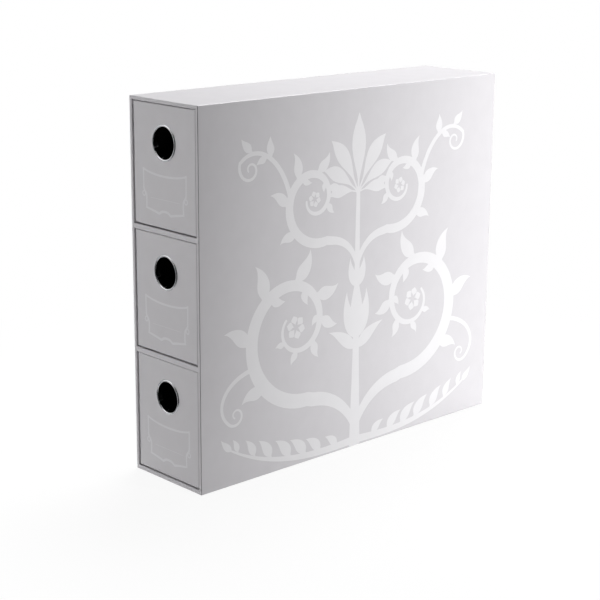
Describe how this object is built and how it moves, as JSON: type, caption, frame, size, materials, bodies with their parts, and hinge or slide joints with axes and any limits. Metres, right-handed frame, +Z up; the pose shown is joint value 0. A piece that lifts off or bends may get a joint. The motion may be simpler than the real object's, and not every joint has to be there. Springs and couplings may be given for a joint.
{
  "type": "trading card drawer box",
  "caption": "Upright paper-covered box with a stack of pull-out drawers for trading cards, each with a round metal finger ring in its front.",
  "frame": {"origin": "on the surface the box stands on, under the middle of the case", "axes": "+Z up, the drawers pull out towards -Y, +X to the right when facing the drawers"},
  "size_m": [0.084, 0.343, 0.31],
  "materials": {
    "greyboard": "matte",
    "silver_paper": "satin",
    "pasted_paper": "satin",
    "black_lining_paper": "matte",
    "chromed_ring": "polished",
    "plated_washer": "satin"
  },
  "bodies": {
    "case": {"side_left_board": "greyboard", "side_right_board": "greyboard", "top_board": "greyboard", "bottom_board": "greyboard", "back_board": "greyboard", "shelf_lower_board": "greyboard", "shelf_upper_board": "greyboard", "case_cover": "silver_paper", "shelf_lower_cover": "silver_paper", "shelf_upper_cover": "silver_paper", "base_sheet": "pasted_paper", "back_sheet": "pasted_paper", "bay_top_lining": "black_lining_paper", "bay_middle_lining": "black_lining_paper", "bay_bottom_lining": "black_lining_paper"},
    "drawer_top": {"drawer_top_front_board": "greyboard", "drawer_top_left_board": "greyboard", "drawer_top_right_board": "greyboard", "drawer_top_back_board": "greyboard", "drawer_top_base_board": "greyboard", "drawer_top_cover": "silver_paper", "drawer_top_lining": "black_lining_paper", "drawer_top_finger_ring": "chromed_ring", "drawer_top_ring_washer": "plated_washer"},
    "drawer_middle": {"drawer_middle_front_board": "greyboard", "drawer_middle_left_board": "greyboard", "drawer_middle_right_board": "greyboard", "drawer_middle_back_board": "greyboard", "drawer_middle_base_board": "greyboard", "drawer_middle_cover": "silver_paper", "drawer_middle_lining": "black_lining_paper", "drawer_middle_finger_ring": "chromed_ring", "drawer_middle_ring_washer": "plated_washer"},
    "drawer_bottom": {"drawer_bottom_front_board": "greyboard", "drawer_bottom_left_board": "greyboard", "drawer_bottom_right_board": "greyboard", "drawer_bottom_back_board": "greyboard", "drawer_bottom_base_board": "greyboard", "drawer_bottom_cover": "silver_paper", "drawer_bottom_lining": "black_lining_paper", "drawer_bottom_finger_ring": "chromed_ring", "drawer_bottom_ring_washer": "plated_washer"}
  },
  "joints": [
    {"name": "drawer_top_slide", "type": "slide", "parent": "case", "child": "drawer_top", "axis": [0, -1, 0], "range_m": [0, 0.329]},
    {"name": "drawer_middle_slide", "type": "slide", "parent": "case", "child": "drawer_middle", "axis": [0, -1, 0], "range_m": [0, 0.329]},
    {"name": "drawer_bottom_slide", "type": "slide", "parent": "case", "child": "drawer_bottom", "axis": [0, -1, 0], "range_m": [0, 0.329]}
  ]
}
